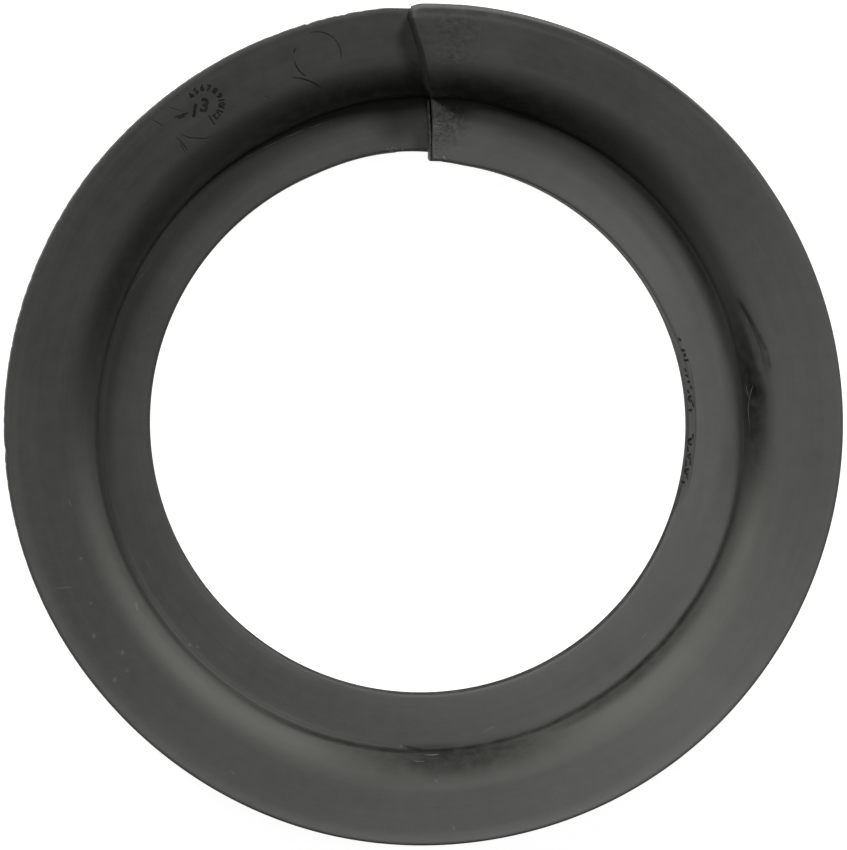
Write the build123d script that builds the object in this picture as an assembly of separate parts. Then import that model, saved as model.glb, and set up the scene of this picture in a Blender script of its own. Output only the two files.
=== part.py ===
from build123d import *
import math
import os

# A moulded rubber ring that sits between a coil spring and its seat.
# Millimetres, +Z up. The ring's axis is Z and its level underside is z = 0.
# A bearing runs clockwise from +Y, seen from above. The step is near bearing 0.

# Plan sizes, from the bore outward
bore_diameter = 90.0
ledge_width = 9.3
neck_wall = 5.2
flange_overhang = 10.5

# Heights and walls
ledge_thickness = 3.2
dish_depth = 8.0
flange_thickness = 4.2
flange_slope = 2.0

# Edges and corners of the section
shoulder_radius = 7.0
wall_draft = 10.0
neck_edge_radius = 1.0
neck_root_radius = 1.5
rim_radius = 0.6
rim_foot_radius = 0.5
bore_edge_radius = 0.5

# The raised end, highest at the step and level with the plain ring at its far end
ramp_angle = 130.0
ramp_rise = 4.5
ramp_bore_inset = 1.35
ramp_rim_flare = 0.5
ramp_rim_flare_angle = 75.0
ramp_rim_radius = 1.5
ramp_stations = 13

# The step's upper edge in plan, as bearings at the rim, the shoulder, the crease and the bore
step_corner_bearing = 1.8
step_rim_bearing = -1.8
step_shoulder_bearing = -0.9
step_crease_bearing = 1.3
step_bore_bearing = 2.1
step_corner_run = 2.2
step_face_lean = 4.0
step_overrun = 8.0

# The sloping recess that sets the bore's upper edge back over a row of marks
mark_start_bearing = 62.0
mark_end_bearing = 104.0
mark_foot_height = 2.2
mark_slope = 20.0

# Round marks that the mould left in the flange: a dial and the end of a pin
mould_mark_depth = 0.2
mould_mark_width = 0.35
dial_diameter = 6.6
dial_bearing = 325.8
dial_inset = 4.8
pin_mark_diameter = 8.0
pin_mark_bearing = 343.8
pin_mark_inset = 5.6

# A pinch in the shoulder, as if the ring had been caught there
pinch_start_bearing = 70.0
pinch_end_bearing = 88.0
pinch_offset = 2.3
pinch_radius = 1.6
pinch_depth = 0.5

# How far cutting blocks reach past the ring, and how deep its bodies overlap inside
block_margin = 5.0
inner_overlap = 1.0

bore_r = bore_diameter / 2
crease_r = bore_r + ledge_width
neck_r = crease_r + neck_wall
rim_r = neck_r + flange_overhang
slope = math.radians(flange_slope)
draft = math.radians(wall_draft)
shoulder_height = ledge_thickness + dish_depth
underside_height = shoulder_height - flange_thickness
root_r = neck_r + neck_root_radius

# The shoulder's arc leaves the flange along its slope and ends along the drafted wall.
wall_height = dish_depth - shoulder_radius * (math.cos(slope) - math.sin(draft))
wall_top_r = crease_r + wall_height * math.tan(draft)
arc_centre_r = wall_top_r + shoulder_radius * math.cos(draft)
shoulder_r = arc_centre_r + shoulder_radius * math.sin(slope)


def radial_plane(bearing):
    """Upright plane through the axis: local x outward, local y up."""
    turn = math.radians(bearing)
    return Plane(
        origin=(0, 0, 0),
        x_dir=(math.sin(turn), math.cos(turn), 0),
        z_dir=(math.cos(turn), -math.sin(turn), 0),
    )


def plan_point(distance, bearing):
    """A point in plan from its distance out and its bearing."""
    turn = math.radians(bearing)
    return (distance * math.sin(turn), distance * math.cos(turn))


def ramp_share(bearing):
    """1 at the step, 0 where the raised end is level with the plain ring."""
    return 1.0 - bearing / ramp_angle


def flare_share(bearing):
    """1 at the step, 0 where the raised end's rim is back on the plain rim."""
    return max(0.0, 1.0 - max(0.0, bearing / ramp_rim_flare_angle) ** 3)


def round_corner(start, corner, end):
    """Quarter arc between two points that lie square to a corner."""
    share = 1 - math.sqrt(0.5)
    middle = tuple(c + share * (s + e - 2 * c) for s, c, e in zip(start, corner, end))
    return ThreePointArc(start, middle, end)


def section(bearing, share, flare):
    """The ring's section at one bearing, less its neck, on its radial plane."""
    lift = ramp_rise * share
    edge_r = bore_r - ramp_bore_inset * share
    foot_r = rim_r + ramp_rim_flare * flare
    top_radius = rim_radius + (ramp_rim_radius - rim_radius) * flare
    ledge_z = ledge_thickness + lift
    shoulder_z = shoulder_height + lift
    wall_top = (wall_top_r, ledge_z + wall_height)
    arc_centre_z = wall_top[1] - shoulder_radius * math.sin(draft)
    half_turn = math.pi / 2 + slope + (math.pi / 2 - draft - slope) / 2
    arc_middle = (
        arc_centre_r + shoulder_radius * math.cos(half_turn),
        arc_centre_z + shoulder_radius * math.sin(half_turn),
    )
    shoulder = (shoulder_r, shoulder_z)
    rim_z = shoulder_z + (rim_r - top_radius - shoulder_r) * math.tan(slope)
    rim_top = (rim_r - top_radius, rim_z)
    rim_side = (rim_r, rim_z - top_radius)
    foot_side = (foot_r, underside_height + rim_foot_radius)
    foot_under = (foot_r - rim_foot_radius, underside_height)
    bore_top = (edge_r + bore_edge_radius, ledge_z)
    bore_side = (edge_r, ledge_z - bore_edge_radius)

    # The inner corners lie inside the neck ring, which closes the section below.
    hidden_z = underside_height + inner_overlap / 2
    with BuildSketch(radial_plane(bearing)) as drawn:
        with BuildLine():
            Polyline(
                bore_side,
                (edge_r, 0),
                (neck_r - neck_edge_radius - inner_overlap, 0),
                (neck_r - inner_overlap, hidden_z),
                (root_r + inner_overlap, hidden_z),
                (root_r + inner_overlap, underside_height),
                foot_under,
            )
            round_corner(foot_under, (foot_r, underside_height), foot_side)
            Line(foot_side, rim_side)
            round_corner(rim_side, (rim_r, rim_z), rim_top)
            Line(rim_top, shoulder)
            ThreePointArc(shoulder, arc_middle, wall_top)
            Polyline(wall_top, (crease_r, ledge_z), bore_top)
            round_corner(bore_top, (edge_r, ledge_z), bore_side)
        make_face()
    return drawn.sketch


def neck_ring():
    """The round neck and the flange's root, the same all the way round."""
    inner_r = crease_r + neck_wall / 3
    slab_r = root_r + 2 * inner_overlap
    slab_z = underside_height + inner_overlap
    edge_under = (neck_r - neck_edge_radius, 0)
    edge_side = (neck_r, neck_edge_radius)
    root_low = (neck_r, underside_height - neck_root_radius)
    root_out = (root_r, underside_height)
    with BuildSketch(Plane.XZ) as drawn:
        with BuildLine():
            Line((inner_r, 0), edge_under)
            round_corner(edge_under, (neck_r, 0), edge_side)
            Line(edge_side, root_low)
            round_corner(root_low, (neck_r, underside_height), root_out)
            Polyline(
                root_out,
                (slab_r, underside_height),
                (slab_r, slab_z),
                (inner_r + inner_overlap, slab_z),
                (inner_r, underside_height - inner_overlap),
                (inner_r, 0),
            )
        make_face()
    return revolve(drawn.sketch, axis=Axis.Z)


def step_block(far_outline):
    """Tapered block whose near side is the step's leaning face."""
    ledge_z = ledge_thickness + ramp_rise
    flange_z = shoulder_height + ramp_rise
    lean = math.tan(math.radians(step_face_lean))
    corner_bearing = (step_corner_bearing + step_rim_bearing) / 2
    upper_edge = [
        (rim_r + block_margin, step_corner_bearing, flange_z),
        (rim_r + ramp_rim_flare / 2, corner_bearing, flange_z),
        (rim_r - step_corner_run, step_rim_bearing, flange_z),
        (shoulder_r, step_shoulder_bearing, flange_z),
        (crease_r, step_crease_bearing, ledge_z),
        (bore_r - ramp_bore_inset - block_margin, step_bore_bearing, ledge_z),
    ]
    outline = []
    for distance, bearing, height in upper_edge:
        x, y = plan_point(distance, bearing)
        outline.append((x - height * lean, y))
    base = make_face(Polyline(*outline, *far_outline, close=True))
    return extrude(base, amount=flange_z + block_margin, taper=step_face_lean)


def plain_ring():
    """The stretch with one section, round to the low side of the step."""
    turn = 360 - ramp_angle + step_overrun
    ring = revolve(section(step_overrun, 0, 0), axis=Axis.Z, revolution_arc=turn)
    reach = rim_r / 2
    near = bore_r - ramp_bore_inset - 2 * block_margin
    return ring - step_block([(reach, near), (reach, rim_r + block_margin)])


def raised_end():
    """The stretch that climbs to the high side of the step."""
    sections = []
    for number in range(ramp_stations):
        covered = (ramp_angle + step_overrun) * number / (ramp_stations - 1)
        bearing = ramp_angle - covered
        sections.append(section(bearing, ramp_share(bearing), flare_share(bearing)))
    reach = 2 * rim_r
    return loft(sections) & step_block([(0, 0), (0, -reach), (reach, -reach), (reach, reach), (0, reach)])


def mark_recess():
    """Cone-sided cut in the bore's upper edge, above the row of marks."""
    share = ramp_share(mark_start_bearing)
    foot_r = bore_r - ramp_bore_inset * share
    top_z = ledge_thickness + ramp_rise
    top_r = foot_r + (top_z - mark_foot_height) * math.tan(math.radians(mark_slope))
    inside_r = foot_r - block_margin
    outline = Polyline(
        (inside_r, mark_foot_height),
        (foot_r, mark_foot_height),
        (top_r, top_z),
        (inside_r, top_z),
        close=True,
    )
    face = radial_plane(mark_end_bearing) * make_face(outline)
    return revolve(face, axis=Axis.Z, revolution_arc=mark_end_bearing - mark_start_bearing)


def mould_ring(diameter, inset, bearing):
    """Shallow round groove in the flange, its middle set in from the rim."""
    distance = rim_r - inset
    x, y = plan_point(distance, bearing)
    z = shoulder_height + (distance - shoulder_r) * math.tan(slope)
    ring = Circle((diameter + mould_mark_width) / 2) - Circle((diameter - mould_mark_width) / 2)
    return extrude(Plane(origin=(x, y, z)) * ring, amount=mould_mark_depth, both=True)


def pinch():
    """Round-ended groove pressed into the shoulder."""
    share = ramp_share((pinch_start_bearing + pinch_end_bearing) / 2)
    across = (arc_centre_r - crease_r - pinch_offset) / shoulder_radius
    arc_centre_z = ledge_thickness + ramp_rise * share + wall_height - shoulder_radius * math.sin(draft)
    out = shoulder_radius + pinch_radius - pinch_depth
    r = arc_centre_r - out * across
    z = arc_centre_z + out * math.sqrt(1 - across**2)
    tool = radial_plane(pinch_end_bearing) * Pos(r, z) * Circle(pinch_radius)
    groove = revolve(tool, axis=Axis.Z, revolution_arc=pinch_end_bearing - pinch_start_bearing)
    for bearing in (pinch_start_bearing, pinch_end_bearing):
        x, y = plan_point(r, bearing)
        groove += Pos(x, y, z) * Sphere(pinch_radius)
    return groove


ring = neck_ring() + plain_ring() + raised_end()
ring -= mark_recess()
ring -= mould_ring(dial_diameter, dial_inset, dial_bearing)
ring -= mould_ring(pin_mark_diameter, pin_mark_inset, pin_mark_bearing)
ring -= pinch()

os.makedirs("parts", exist_ok=True)
export_step(ring, "parts/insulator_ring.step")
print("solids", len(ring.solids()), "volume", round(ring.volume), "valid", ring.is_valid)
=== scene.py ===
import bmesh
import bpy
import math
import numpy as np
from mathutils import Matrix, Vector
from mathutils.bvhtree import BVHTree


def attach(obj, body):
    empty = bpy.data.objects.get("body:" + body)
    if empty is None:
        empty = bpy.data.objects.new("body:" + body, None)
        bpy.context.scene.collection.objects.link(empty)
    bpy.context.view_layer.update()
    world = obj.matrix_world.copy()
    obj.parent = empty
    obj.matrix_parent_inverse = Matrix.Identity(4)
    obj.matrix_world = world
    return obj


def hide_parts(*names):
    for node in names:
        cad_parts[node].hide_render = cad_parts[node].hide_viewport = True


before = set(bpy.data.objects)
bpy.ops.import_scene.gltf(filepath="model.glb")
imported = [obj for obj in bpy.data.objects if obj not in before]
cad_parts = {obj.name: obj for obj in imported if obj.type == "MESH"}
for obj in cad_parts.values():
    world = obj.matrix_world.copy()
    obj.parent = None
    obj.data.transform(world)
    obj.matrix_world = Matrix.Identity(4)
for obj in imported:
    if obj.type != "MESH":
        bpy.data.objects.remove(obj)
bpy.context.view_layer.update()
mm = 0.001  # sizes below are in millimetres and degrees, bearings clockwise from the step at +Y

scene = bpy.context.scene
scene.view_settings.view_transform = "Standard"


# Small helpers

def placeAt(distance, bearing, height=0.0):
    turn = math.radians(bearing)
    return Vector((distance * math.sin(turn), distance * math.cos(turn), height))


def addObject(name, data):
    made = bpy.data.objects.new(name, data)
    scene.collection.objects.link(made)
    return made


def feed(tree, socket, value):
    # a socket is linked, anything else is set as the input's own value
    if isinstance(value, bpy.types.NodeSocket):
        tree.links.new(value, socket)
    elif value is not None:
        socket.default_value = value


def addNode(tree, kind, inputs=None, **settings):
    # inputs gives links and values by socket name or number, settings the node's own options
    node = tree.nodes.new(kind)
    for name, value in settings.items():
        setattr(node, name, value)
    for name, value in (inputs or {}).items():
        feed(tree, node.inputs[name], value)
    return node


def sums(tree, operation, *values, clamp=False):
    inputs = dict(enumerate(values))
    return addNode(tree, "ShaderNodeMath", inputs, operation=operation, use_clamp=clamp).outputs[0]


def plus(tree, first, second, clamp=False):
    return sums(tree, "ADD", first, second, clamp=clamp)


def minus(tree, first, second):
    return sums(tree, "SUBTRACT", first, second)


def times(tree, first, second, clamp=False):
    return sums(tree, "MULTIPLY", first, second, clamp=clamp)


def timesPlus(tree, first, second, third, clamp=False):
    return sums(tree, "MULTIPLY_ADD", first, second, third, clamp=clamp)


def vectorSums(tree, operation, *values):
    node = addNode(tree, "ShaderNodeVectorMath", dict(enumerate(values)), operation=operation)
    return node.outputs["Value" if operation in ("LENGTH", "DISTANCE", "DOT_PRODUCT") else "Vector"]


def scaled(tree, vector, factor):
    return addNode(tree, "ShaderNodeVectorMath", {0: vector, "Scale": factor}, operation="SCALE").outputs[0]


def combine(tree, x, y, z=0.0):
    return addNode(tree, "ShaderNodeCombineXYZ", {"X": x, "Y": y, "Z": z}).outputs[0]


def separate(tree, vector):
    return addNode(tree, "ShaderNodeSeparateXYZ", {0: vector}).outputs


def mapRange(tree, value, fromLow, fromHigh, toLow, toHigh, smooth=False):
    inputs = {"Value": value, "From Min": fromLow, "From Max": fromHigh, "To Min": toLow, "To Max": toHigh}
    shape = "SMOOTHSTEP" if smooth else "LINEAR"
    return addNode(tree, "ShaderNodeMapRange", inputs, clamp=True, interpolation_type=shape).outputs[0]


def storedValue(tree, attribute, kind="FLOAT_VECTOR"):
    named = addNode(tree, "GeometryNodeInputNamedAttribute", {"Name": attribute}, data_type=kind)
    return named.outputs["Attribute"]


def newTree(name, kind, inputs, outputs):
    # an input is a label, a kind of value and a default; an output is a label and a kind of value
    tree = bpy.data.node_groups.new(name, kind)
    for label, valueKind, value in inputs:
        socket = tree.interface.new_socket(label, in_out="INPUT", socket_type="NodeSocket" + valueKind)
        if value is not None:
            socket.default_value = value
    for label, valueKind in outputs:
        tree.interface.new_socket(label, in_out="OUTPUT", socket_type="NodeSocket" + valueKind)
    return tree, addNode(tree, "NodeGroupInput").outputs, addNode(tree, "NodeGroupOutput")


def geometryTree(name, inputs):
    shape = ("Geometry", "Geometry")
    return newTree(name, "GeometryNodeTree", [(*shape, None)] + inputs, [shape])


def finishTree(tree, result, geometry, material):
    realize = addNode(tree, "GeometryNodeRealizeInstances", {"Geometry": geometry})
    dress = addNode(tree, "GeometryNodeSetMaterial", {"Geometry": realize.outputs[0], "Material": material})
    feed(tree, result.inputs["Geometry"], dress.outputs[0])


def runTree(name, mesh, tree, settings):
    # runs a tree on a mesh once and keeps the result as a plain mesh
    carrier = addObject(name + "_carrier", mesh)
    modifier = carrier.modifiers.new("build", "NODES")
    modifier.node_group = tree
    for item in tree.interface.items_tree:
        if item.in_out == "INPUT" and item.name in settings:
            modifier[item.identifier] = settings[item.name]
    evaluated = carrier.evaluated_get(bpy.context.evaluated_depsgraph_get())
    made = bpy.data.meshes.new_from_object(evaluated)
    bpy.data.objects.remove(carrier)
    made.name = name
    return addObject(name, made)


# The ring's section, as rows of points from the bore's foot round and back

ring = {
    "boreRadius": 45.05, "creaseRadius": 54.2, "neckRadius": 59.5, "rimRadius": 69.98, "boreDraft": 5.0,
    "ledgeHeight": 3.2, "dishDepth": 8.0, "flangeThickness": 4.2, "flangeSlope": 2.0,
    "shoulderRound": 7.0, "wallDraft": 10.0, "neckEdge": 1.0, "neckRoot": 1.5,
    "rimRound": 0.6, "rimFoot": 0.5, "boreEdge": 0.5, "creaseStrip": 0.25,
    "rampAngle": 130.0, "rampRise": 4.5, "rampInset": 1.35, "rampFlare": 0.5,
    "flareAngle": 75.0, "rampRimRound": 1.5,
    "columns": 860, "stepColumns": 60, "faceColumns": 9, "stepSpacing": 0.1,
    "stepLean": 0.75, "leastLean": 0.1, "stepSoftness": 3, "joinWithin": 0.002,
    "lineFade": (2.0, 9.0), "softFade": (4.0, 5.0),  # degrees from the step, from full to none
    # the step's line in plan: bearings, and the distances that are not radii of the section
    "stepAtBore": 2.1, "stepAtCrease": 1.3, "stepAtShoulder": 0.2, "stepAtCorner": -1.95, "stepAtRim": -1.6,
    "shoulderDistance": 58.0, "cornerDistance": 68.6,
}


def straight(start, end, count):
    share = np.linspace(0, 1, count, endpoint=False)[:, None]
    return np.array(start) + share * (np.array(end) - np.array(start))


def arc(centre, radius, fromAngle, toAngle, count):
    turn = np.radians(np.linspace(fromAngle, toAngle, count, endpoint=False))
    return np.array(centre) + radius * np.stack([np.cos(turn), np.sin(turn)], 1)


def sectionPoints(share, flare):
    s = ring
    slope = math.radians(s["flangeSlope"])
    draft = math.radians(s["wallDraft"])
    edgeR = s["boreRadius"] - s["rampInset"] * share
    ledgeZ = s["ledgeHeight"] + s["rampRise"] * share
    underZ = s["ledgeHeight"] + s["dishDepth"] - s["flangeThickness"]
    footR = s["rimRadius"] + s["rampFlare"] * flare
    rimRound = s["rimRound"] + (s["rampRimRound"] - s["rimRound"]) * flare
    wallHigh = s["dishDepth"] - s["shoulderRound"] * (math.cos(slope) - math.sin(draft))
    wallTopR = s["creaseRadius"] + wallHigh * math.tan(draft)
    arcR = wallTopR + s["shoulderRound"] * math.cos(draft)
    arcZ = ledgeZ + wallHigh - s["shoulderRound"] * math.sin(draft)
    shoulderR = arcR + s["shoulderRound"] * math.sin(slope)
    shoulderZ = ledgeZ + s["dishDepth"]
    rimZ = shoulderZ + (s["rimRadius"] - rimRound - shoulderR) * math.tan(slope)
    neckR = s["neckRadius"]
    topR = edgeR + math.tan(math.radians(s["boreDraft"])) * s["ledgeHeight"]
    stripR = s["creaseRadius"] - s["creaseStrip"]
    # each stretch ends with its number of points
    return np.concatenate([
        straight((edgeR, 0), (neckR - s["neckEdge"], 0), 5),
        arc((neckR - s["neckEdge"], s["neckEdge"]), s["neckEdge"], -90, 0, 4),
        straight((neckR, s["neckEdge"]), (neckR, underZ - s["neckRoot"]), 4),
        arc((neckR + s["neckRoot"], underZ - s["neckRoot"]), s["neckRoot"], 180, 90, 4),
        straight((neckR + s["neckRoot"], underZ), (footR - s["rimFoot"], underZ), 4),
        arc((footR - s["rimFoot"], underZ + s["rimFoot"]), s["rimFoot"], -90, 0, 4),
        straight((footR, underZ + s["rimFoot"]), (s["rimRadius"], rimZ - rimRound), 8),
        arc((s["rimRadius"] - rimRound, rimZ - rimRound), rimRound, 0, 90, 6),
        straight((s["rimRadius"] - rimRound, rimZ), (shoulderR, shoulderZ), 19),
        arc((arcR, arcZ), s["shoulderRound"], 90 + s["flangeSlope"], 180 - s["wallDraft"], 26),
        straight((wallTopR, ledgeZ + wallHigh), (s["creaseRadius"], ledgeZ), 5),
        straight((s["creaseRadius"], ledgeZ), (stripR, ledgeZ), 1),
        straight((stripR, ledgeZ), (topR + s["boreEdge"], ledgeZ), 17),
        arc((topR + s["boreEdge"], ledgeZ - s["boreEdge"]), s["boreEdge"], 90, 180, 4),
        straight((topR, ledgeZ - s["boreEdge"]), (edgeR, 0), 5),
    ])


def sectionMesh():
    base = sectionPoints(0, 0)
    rampMove = sectionPoints(1, 0) - base
    flareMove = sectionPoints(0, 1) - base
    mesh = bpy.data.meshes.new("ring_section")
    count = len(base)
    flat = np.zeros(count)
    points = np.stack([base[:, 0], flat, base[:, 1]], 1) * mm
    edges = [(i, (i + 1) % count) for i in range(count)]
    mesh.from_pydata(points.tolist(), edges, [])
    for name, move in (("rampMove", rampMove), ("flareMove", flareMove)):
        layer = mesh.attributes.new(name, "FLOAT_VECTOR", "POINT")
        vectors = np.stack([move[:, 0], flat, move[:, 1]], 1) * mm
        layer.data.foreach_set("vector", vectors.astype(np.float32).ravel())
    return mesh


def ringTree(material):
    # sweeps the section round the axis, lifts it along the ramp and drops it at the step
    sizes = ("Ramp Angle", "Flare Angle", "Step Spacing", "Step Lean", "Step At Bore", "Step At Crease",
             "Step At Shoulder", "Step At Corner", "Step At Rim", "Bore Distance", "Crease Distance",
             "Shoulder Distance", "Corner Distance", "Rim Distance")
    counts = ("Columns", "Step Columns", "Face Columns", "Step Softness")
    inputs = [(name, "Float", 1.0) for name in sizes] + [(name, "Int", 1) for name in counts]
    tree, given, result = geometryTree("ringSweep", inputs)

    # a flat grid, one row for each point of the section, that is closed both ways
    size = addNode(tree, "GeometryNodeAttributeDomainSize", {0: given["Geometry"]}, component="MESH")
    rows = size.outputs["Point Count"]
    grid = addNode(tree, "GeometryNodeMeshGrid", {
        "Size X": 1.0, "Size Y": 1.0,
        "Vertices X": plus(tree, given["Columns"], 1.0), "Vertices Y": plus(tree, rows, 1.0),
    })
    gridX, gridY, _ = separate(tree, addNode(tree, "GeometryNodeInputPosition").outputs[0])
    alongX = times(tree, plus(tree, gridX, 0.5), given["Columns"])
    alongY = times(tree, plus(tree, gridY, 0.5), rows)
    column = sums(tree, "MODULO", sums(tree, "ROUND", alongX), given["Columns"])
    row = sums(tree, "MODULO", sums(tree, "ROUND", alongY), rows)

    def rowValue(attribute):
        sample = addNode(tree, "GeometryNodeSampleIndex", {
            "Geometry": given["Geometry"], "Value": storedValue(tree, attribute), "Index": row,
        }, data_type="FLOAT_VECTOR", domain="POINT")
        return sample.outputs[0]

    # bearing of each column: close together beside the step, even elsewhere
    face = given["Face Columns"]
    beyond = sums(tree, "MAXIMUM", minus(tree, column, face), 0.0)
    total = minus(tree, given["Columns"], face)
    nearTurn = times(tree, given["Step Columns"], given["Step Spacing"])
    plainTurn = minus(tree, 360.0, times(tree, nearTurn, 2.0))
    plainCount = minus(tree, total, times(tree, given["Step Columns"], 2.0))
    plainSpacing = sums(tree, "DIVIDE", plainTurn, plainCount)
    close = times(tree, beyond, given["Step Spacing"])
    wide = times(tree, minus(tree, beyond, given["Step Columns"]), plainSpacing)
    ahead = sums(tree, "MAXIMUM", close, plus(tree, nearTurn, wide))
    left = times(tree, minus(tree, total, beyond), given["Step Spacing"])
    bearing = sums(tree, "MINIMUM", ahead, minus(tree, 360.0, left))

    climb = sums(tree, "DIVIDE", column, face, clamp=True)
    share = times(tree, climb, mapRange(tree, bearing, 0.0, given["Ramp Angle"], 1.0, 0.0))
    flareTurn = sums(tree, "DIVIDE", bearing, given["Flare Angle"], clamp=True)
    flare = times(tree, climb, minus(tree, 1.0, sums(tree, "POWER", flareTurn, 3.0)))
    lifted = scaled(tree, rowValue("rampMove"), share)
    flared = scaled(tree, rowValue("flareMove"), flare)
    section = vectorSums(tree, "ADD", vectorSums(tree, "ADD", rowValue("position"), lifted), flared)
    distance, _, height = separate(tree, section)

    # the step's line in plan, straight between its named places and fading out to both sides
    line = given["Step At Bore"]
    stops = ("Bore", "Crease", "Shoulder", "Corner", "Rim")
    for low, high in zip(stops, stops[1:]):
        change = minus(tree, given["Step At " + high], given["Step At " + low])
        part = mapRange(tree, distance, given[low + " Distance"], given[high + " Distance"], 0.0, 1.0)
        line = plus(tree, line, times(tree, change, part))
    away = sums(tree, "MINIMUM", bearing, minus(tree, 360.0, bearing))
    fade = mapRange(tree, away, *ring["lineFade"], 1.0, 0.0, smooth=True)
    creaseAt, shoulderAt, cornerAt = (given[name + " Distance"] for name in stops[1:4])
    leanIn = mapRange(tree, distance, creaseAt, shoulderAt, ring["leastLean"], 1.0, smooth=True)
    leanOut = mapRange(tree, distance, shoulderAt, cornerAt, 1.0, ring["leastLean"], smooth=True)
    leaning = times(tree, given["Step Lean"], sums(tree, "MINIMUM", leanIn, leanOut))
    back = times(tree, minus(tree, climb, 1.0), leaning)
    lean = sums(tree, "DEGREES", sums(tree, "DIVIDE", back, distance))
    turn = sums(tree, "RADIANS", plus(tree, plus(tree, bearing, lean), times(tree, line, fade)))
    x = times(tree, distance, sums(tree, "SINE", turn))
    y = times(tree, distance, sums(tree, "COSINE", turn))
    placed = addNode(tree, "GeometryNodeSetPosition", {
        "Geometry": grid.outputs["Mesh"], "Position": combine(tree, x, y, height),
    })
    closed = addNode(tree, "GeometryNodeMergeByDistance", {
        "Geometry": placed.outputs[0], "Distance": ring["joinWithin"] * mm,
    })

    # rounds the step's edges a little, only beside the step
    where = addNode(tree, "GeometryNodeInputPosition").outputs[0]
    planX, planY, _ = separate(tree, where)
    sideways = sums(tree, "ABSOLUTE", sums(tree, "DEGREES", sums(tree, "ARCTAN2", planX, planY)))
    blurred = addNode(tree, "GeometryNodeBlurAttribute", {
        "Iterations": given["Step Softness"],
        "Weight": mapRange(tree, sideways, *ring["softFade"], 1.0, 0.0),
    }, data_type="FLOAT_VECTOR")
    feed(tree, [s for s in blurred.inputs if s.name == "Value" and s.enabled][0], where)
    softened = addNode(tree, "GeometryNodeSetPosition", {
        "Geometry": closed.outputs[0], "Position": [s for s in blurred.outputs if s.enabled][0],
    })
    outside = addNode(tree, "GeometryNodeFlipFaces", {0: softened.outputs[0]})
    smooth = addNode(tree, "GeometryNodeSetShadeSmooth", {"Geometry": outside.outputs[0]})
    finishTree(tree, result, smooth.outputs[0], material)
    return tree


def buildRing(material):
    s = ring
    settings = {
        "Ramp Angle": s["rampAngle"], "Flare Angle": s["flareAngle"],
        "Step Spacing": s["stepSpacing"], "Step Lean": s["stepLean"] * mm,
        "Step At Bore": s["stepAtBore"], "Step At Crease": s["stepAtCrease"],
        "Step At Shoulder": s["stepAtShoulder"], "Step At Corner": s["stepAtCorner"],
        "Step At Rim": s["stepAtRim"],
        "Bore Distance": (s["boreRadius"] - s["rampInset"]) * mm, "Crease Distance": s["creaseRadius"] * mm,
        "Shoulder Distance": s["shoulderDistance"] * mm, "Corner Distance": s["cornerDistance"] * mm,
        "Rim Distance": s["rimRadius"] * mm,
        "Columns": s["columns"], "Step Columns": s["stepColumns"], "Face Columns": s["faceColumns"],
        "Step Softness": s["stepSoftness"],
    }
    return runTree("insulator_body", sectionMesh(), ringTree(material), settings)


# Moves on the finished ring: what the moulding, years of load and handling did to it

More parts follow.
